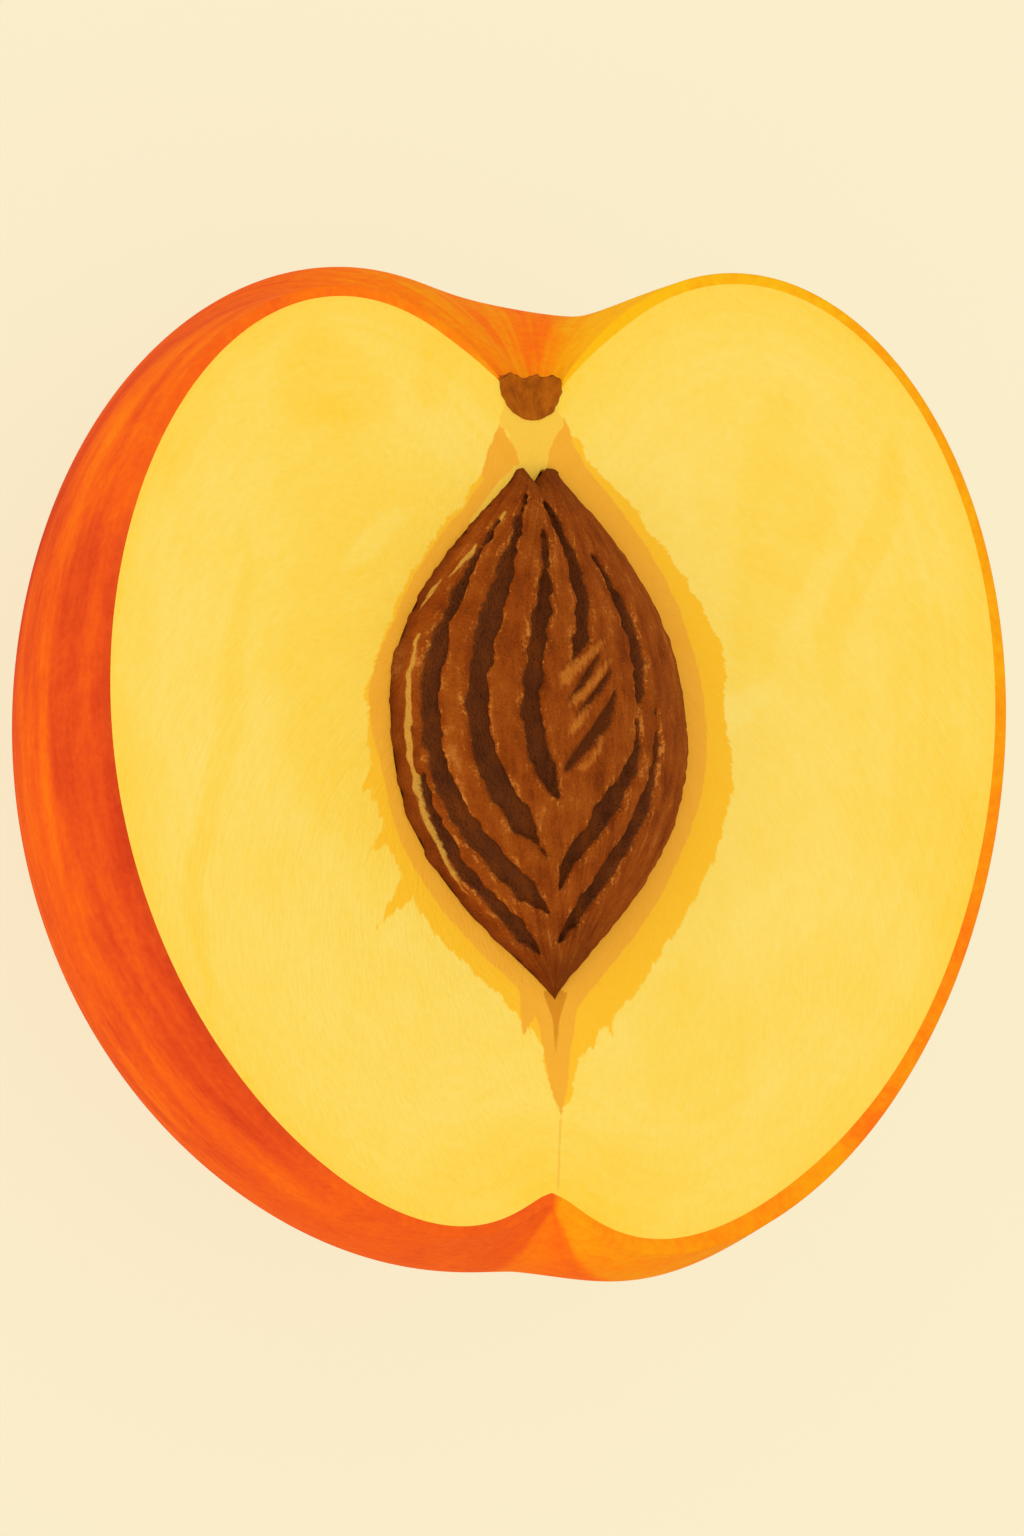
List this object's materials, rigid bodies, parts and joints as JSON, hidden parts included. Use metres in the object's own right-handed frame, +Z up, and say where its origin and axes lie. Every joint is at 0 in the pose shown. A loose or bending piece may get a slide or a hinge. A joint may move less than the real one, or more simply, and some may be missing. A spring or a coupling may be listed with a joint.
{
  "type": "peach half",
  "caption": "Peach cut in half with its furrowed stone left in, lying on its round back on a small flat spot.",
  "frame": {"origin": "on the floor, under the middle of the box around the half as it lies on its flat spot", "axes": "+Z up, square to the cut face, +Y to the stem end, +X across the cut face to its right side"},
  "size_m": [0.077, 0.073, 0.0423],
  "materials": {
    "flesh": "moist yellow flesh on the cut face, with red and orange downy skin on the round back",
    "stone": "red-brown woody stone with dark furrows",
    "stem_scar": "brown corky scar, dry and fibrous"
  },
  "bodies": {
    "root": {"flesh": "flesh", "stone": "stone", "stem_scar": "stem_scar"}
  },
  "joints": []
}
